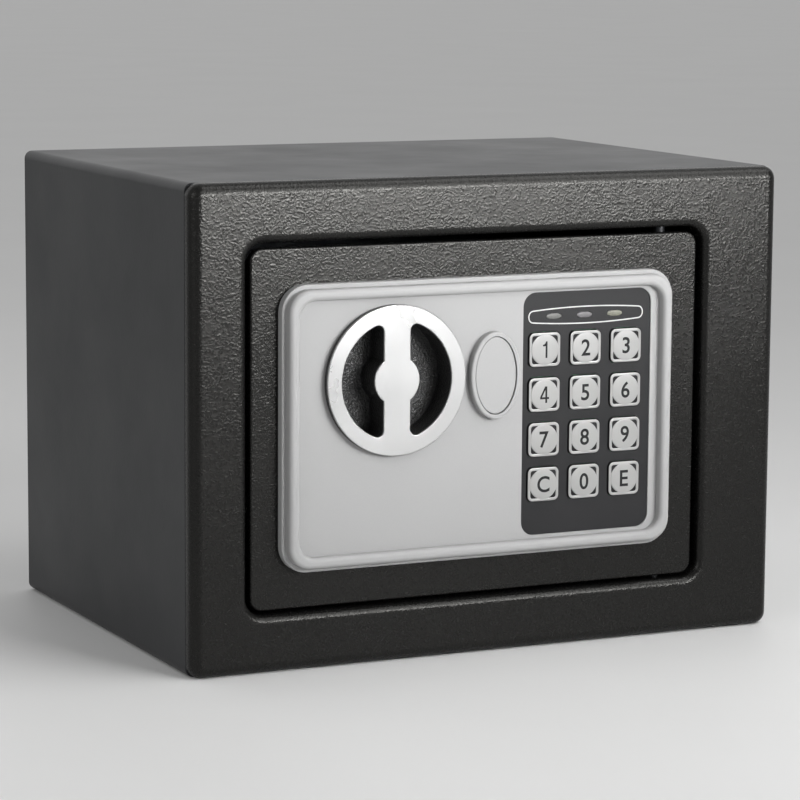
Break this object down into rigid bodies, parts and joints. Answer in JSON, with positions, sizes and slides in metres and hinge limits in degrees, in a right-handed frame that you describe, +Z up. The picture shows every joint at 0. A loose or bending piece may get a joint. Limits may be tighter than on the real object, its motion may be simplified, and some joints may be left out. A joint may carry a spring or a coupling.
{
  "type": "safe",
  "caption": "Small electronic safe: rounded steel cabinet, hinged door with keypad panel, and a turning knob that slides locking bolts behind the frame.",
  "frame": {"origin": "on the floor, under the middle of the whole safe (bounding box bottom centre)", "axes": "+X to the right of someone facing the door, +Y from the door to the back, +Z up"},
  "size_m": [0.23, 0.1746, 0.17],
  "materials": {
    "cabinet_paint": "satin dark grey powder coat",
    "grain_paint": "black leather-grain powder coat",
    "cover_paint": "satin black paint",
    "zinc_steel": "zinc plated",
    "bolt_steel": "bright nickel plate",
    "lock_chrome": "chrome plate",
    "brass": "machined brass",
    "contact_metal": "nickel strip",
    "panel_plastic": "silver painted ABS",
    "knob_silver": "bright silver satin",
    "knob_plastic": "black grained plastic",
    "key_plastic": "silver printed keys",
    "keypad_plastic": "dark grey satin",
    "battery_plastic": "black moulded ABS",
    "red_plastic": "red moulded plastic",
    "lamp_yellow": "unlit amber lens",
    "lamp_green": "unlit green lens",
    "lamp_red": "unlit red lens",
    "board": "green circuit board",
    "coil_tape": "taped copper winding",
    "cell_label": "plain wrapped cells",
    "felt": "black needle felt"
  },
  "bodies": {
    "cabinet": {"body_shell": "cabinet_paint", "back_panel": "cabinet_paint", "front_frame": "grain_paint", "hinge_bracket_upper": "cabinet_paint", "hinge_bracket_lower": "cabinet_paint", "hinge_pin_upper": "cabinet_paint", "hinge_pin_lower": "cabinet_paint", "strike_bracket": "cabinet_paint", "floor_mat": "felt"},
    "door": {"door_plate": "grain_paint", "door_hinge_tab_upper": "grain_paint", "door_hinge_tab_lower": "grain_paint", "control_panel": "panel_plastic", "keypad_plate": "keypad_plastic", "led_yellow": "lamp_yellow", "led_green": "lamp_green", "led_red": "lamp_red", "keypad_pcb": "board", "knob_bracket": "zinc_steel", "bolt_guide_bracket": "zinc_steel", "lock_cylinder_body": "lock_chrome", "cylinder_nut": "lock_chrome", "solenoid_frame": "zinc_steel", "solenoid_coil": "coil_tape", "plunger_spring": "zinc_steel", "rear_cover": "cover_paint", "rear_cover_screws": "zinc_steel", "panel_screws": "zinc_steel", "battery_box": "battery_plastic", "aa_cells": "cell_label", "battery_contacts": "contact_metal", "control_board": "board"},
    "knob": {"knob": "knob_plastic", "knob_face": "knob_silver", "knob_spindle": "zinc_steel", "cam_screw": "zinc_steel"},
    "bolt_carriage": {"bolt_carriage": "zinc_steel", "bolt_stop": "zinc_steel", "locking_bolt_upper": "bolt_steel", "locking_bolt_lower": "bolt_steel"},
    "plunger": {"solenoid_plunger": "bolt_steel"},
    "lock_plug": {"lock_cylinder_plug": "brass", "override_cam": "zinc_steel"},
    "key_cover": {"key_cover": "panel_plastic"},
    "battery_cover": {"battery_cover": "battery_plastic"},
    "reset_button": {"reset_button": "red_plastic"},
    "key_1": {"key_1": "key_plastic"},
    "key_2": {"key_2": "key_plastic"},
    "key_3": {"key_3": "key_plastic"},
    "key_4": {"key_4": "key_plastic"},
    "key_5": {"key_5": "key_plastic"},
    "key_6": {"key_6": "key_plastic"},
    "key_7": {"key_7": "key_plastic"},
    "key_8": {"key_8": "key_plastic"},
    "key_9": {"key_9": "key_plastic"},
    "key_0": {"key_0": "key_plastic"},
    "key_c": {"key_c": "key_plastic"},
    "key_e": {"key_e": "key_plastic"}
  },
  "joints": [
    {"name": "door_swing", "type": "hinge", "parent": "cabinet", "child": "door", "pos_m": [0.07, -0.07475, 0.0844], "axis": [0, 0, 1], "range_deg": [0, 100]},
    {"name": "knob_turn", "type": "hinge", "parent": "door", "child": "knob", "pos_m": [-0.04, -0.08275, 0.1002], "axis": [0, -1, 0], "range_deg": [0, 90]},
    {"name": "bolt_slide", "type": "slide", "parent": "door", "child": "bolt_carriage", "axis": [-1, 0, 0], "range_m": [0, 0.0131]},
    {"name": "plunger_slide", "type": "slide", "parent": "door", "child": "plunger", "axis": [0, 0, -1], "range_m": [0, 0.004]},
    {"name": "override_turn", "type": "hinge", "parent": "door", "child": "lock_plug", "pos_m": [-0.0015, -0.08275, 0.0999], "axis": [0, 1, 0], "range_deg": [0, 90]},
    {"name": "key_cover_pull", "type": "slide", "parent": "door", "child": "key_cover", "axis": [0, -1, 0], "range_m": [0, 0.012]},
    {"name": "battery_cover_lift", "type": "slide", "parent": "door", "child": "battery_cover", "axis": [0, 1, 0], "range_m": [0, 0.02]},
    {"name": "reset_press", "type": "slide", "parent": "door", "child": "reset_button", "axis": [0, -1, 0], "range_m": [0, 0.0015], "stiffness_N_per_m": 300},
    {"name": "key_1_press", "type": "slide", "parent": "door", "child": "key_1", "axis": [0, 1, 0], "range_m": [0, 0.0006], "stiffness_N_per_m": 400},
    {"name": "key_2_press", "type": "slide", "parent": "door", "child": "key_2", "axis": [0, 1, 0], "range_m": [0, 0.0006], "stiffness_N_per_m": 400},
    {"name": "key_3_press", "type": "slide", "parent": "door", "child": "key_3", "axis": [0, 1, 0], "range_m": [0, 0.0006], "stiffness_N_per_m": 400},
    {"name": "key_4_press", "type": "slide", "parent": "door", "child": "key_4", "axis": [0, 1, 0], "range_m": [0, 0.0006], "stiffness_N_per_m": 400},
    {"name": "key_5_press", "type": "slide", "parent": "door", "child": "key_5", "axis": [0, 1, 0], "range_m": [0, 0.0006], "stiffness_N_per_m": 400},
    {"name": "key_6_press", "type": "slide", "parent": "door", "child": "key_6", "axis": [0, 1, 0], "range_m": [0, 0.0006], "stiffness_N_per_m": 400},
    {"name": "key_7_press", "type": "slide", "parent": "door", "child": "key_7", "axis": [0, 1, 0], "range_m": [0, 0.0006], "stiffness_N_per_m": 400},
    {"name": "key_8_press", "type": "slide", "parent": "door", "child": "key_8", "axis": [0, 1, 0], "range_m": [0, 0.0006], "stiffness_N_per_m": 400},
    {"name": "key_9_press", "type": "slide", "parent": "door", "child": "key_9", "axis": [0, 1, 0], "range_m": [0, 0.0006], "stiffness_N_per_m": 400},
    {"name": "key_0_press", "type": "slide", "parent": "door", "child": "key_0", "axis": [0, 1, 0], "range_m": [0, 0.0006], "stiffness_N_per_m": 400},
    {"name": "key_c_press", "type": "slide", "parent": "door", "child": "key_c", "axis": [0, 1, 0], "range_m": [0, 0.0006], "stiffness_N_per_m": 400},
    {"name": "key_e_press", "type": "slide", "parent": "door", "child": "key_e", "axis": [0, 1, 0], "range_m": [0, 0.0006], "stiffness_N_per_m": 400}
  ],
  "couplings": [
    {"joint": "bolt_slide", "follows": "knob_turn", "m_per_rad": 0.008276}
  ]
}
